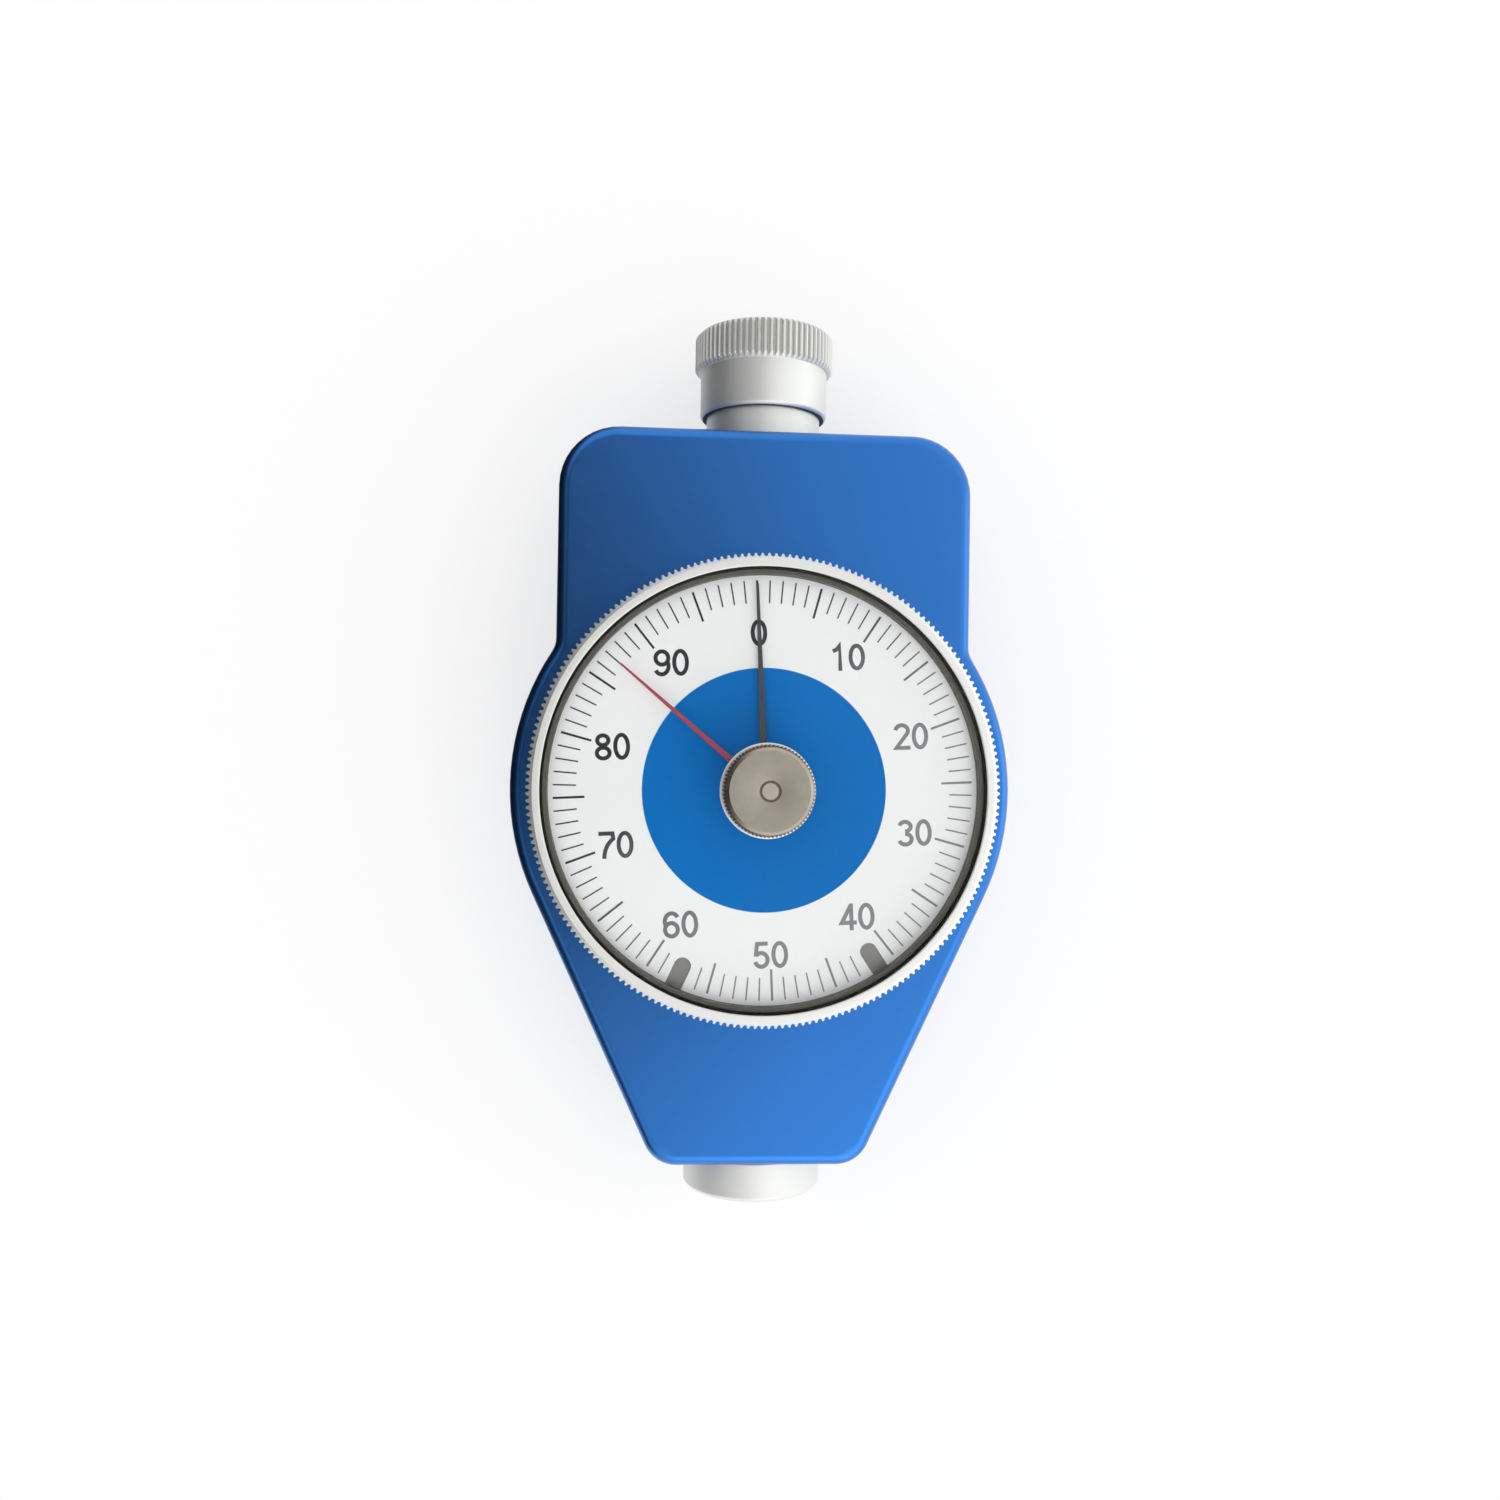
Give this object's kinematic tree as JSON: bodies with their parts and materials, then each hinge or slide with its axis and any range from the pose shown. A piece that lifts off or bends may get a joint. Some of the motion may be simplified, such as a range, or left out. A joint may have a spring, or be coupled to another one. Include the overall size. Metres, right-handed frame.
{
  "type": "dial durometer",
  "caption": "Hand-held dial durometer with a bulged body, knurled bezel, peak pointer with reset knob, screw cap and round presser foot with a spring-loaded indenter.",
  "frame": {"origin": "on the flat back face, under the dial's axis", "axes": "+Z out of the dial, +Y along the spindle towards the top cap, +X to the right of the dial"},
  "size_m": [0.062, 0.1126, 0.0309],
  "materials": {
    "body_paint": "satin blue paint on die-cast metal",
    "satin_aluminium": "turned, satin",
    "nickel_plate": "nickel plated, brushed on its face",
    "spring_steel": "ground",
    "movement_brass": "stamped and turned",
    "dial_lacquer": "matt white lacquer with printed scale and blue disc",
    "black_ring": "matt black",
    "clear_crystal": "clear, polished",
    "pointer_black": "black lacquer",
    "pointer_red": "red lacquer",
    "seal_rubber": "moulded"
  },
  "bodies": {
    "body": {"housing": "body_paint", "rear_cover": "body_paint", "rear_cover_screws": "spring_steel", "presser_foot": "satin_aluminium", "spring_barrel": "satin_aluminium", "spring_adjuster": "movement_brass", "main_spring": "spring_steel", "front_plate": "movement_brass", "middle_plate": "movement_brass", "rear_bridge": "movement_brass", "plate_pillars": "movement_brass", "plate_screws": "spring_steel", "guide_block": "movement_brass", "hairspring": "spring_steel", "hairspring_stud": "movement_brass", "bezel_wire": "spring_steel"},
    "spindle": {"spindle": "spring_steel", "indenter": "spring_steel", "spring_seat": "movement_brass", "guide_pin": "spring_steel"},
    "idler": {"idler_arbor": "spring_steel", "idler_wheel": "movement_brass"},
    "pointer": {"centre_arbor": "spring_steel", "hairspring_collet": "movement_brass", "pointer_hub": "movement_brass", "main_pointer": "pointer_black"},
    "bezel": {"bezel": "satin_aluminium", "crystal": "clear_crystal", "spacer_ring": "black_ring", "dial_plate": "dial_lacquer", "dial_carrier": "satin_aluminium", "crystal_bush": "movement_brass"},
    "peak_hand": {"reset_knob": "nickel_plate", "knob_shaft": "nickel_plate", "peak_hub": "movement_brass", "peak_pointer": "pointer_red", "friction_washer": "spring_steel"},
    "cap_carrier": {"cap_seal": "seal_rubber"},
    "cap": {"top_cap": "satin_aluminium"}
  },
  "joints": [
    {"name": "spindle_slide", "type": "slide", "parent": "body", "child": "spindle", "axis": [0, 1, 0], "range_m": [0, 0.0025], "stiffness_N_per_m": 3006, "springref_m": -0.00018, "deforming": ["main_spring"]},
    {"name": "idler_turn", "type": "hinge", "parent": "body", "child": "idler", "pos_m": [-0.00374, 0.00752, 0.0148], "axis": [0, 0, 1], "range_deg": [0, 72]},
    {"name": "pointer_turn", "type": "hinge", "parent": "body", "child": "pointer", "pos_m": [0, 0, 0.0148], "axis": [0, 0, 1], "range_deg": [-360, 0], "deforming": ["hairspring"]},
    {"name": "bezel_turn", "type": "hinge", "parent": "body", "child": "bezel", "pos_m": [0, 0, 0.0225], "axis": [0, 0, 1], "continuous": true},
    {"name": "peak_turn", "type": "hinge", "parent": "bezel", "child": "peak_hand", "pos_m": [0, 0, 0.026], "axis": [0, 0, 1], "range_deg": [-33.7, 300.3]},
    {"name": "cap_lift", "type": "slide", "parent": "body", "child": "cap_carrier", "axis": [0, 1, 0], "range_m": [0, 0.005]},
    {"name": "cap_turn", "type": "hinge", "parent": "cap_carrier", "child": "cap", "pos_m": [0, 0.054, 0.01], "axis": [0, 1, 0], "range_deg": [0, 1800]}
  ],
  "couplings": [
    {"joint": "idler_turn", "follows": "spindle_slide", "rad_per_m": 502.65},
    {"joint": "pointer_turn", "follows": "spindle_slide", "rad_per_m": -2513.2},
    {"joint": "cap_lift", "follows": "cap_turn", "m_per_rad": 0.000159}
  ]
}
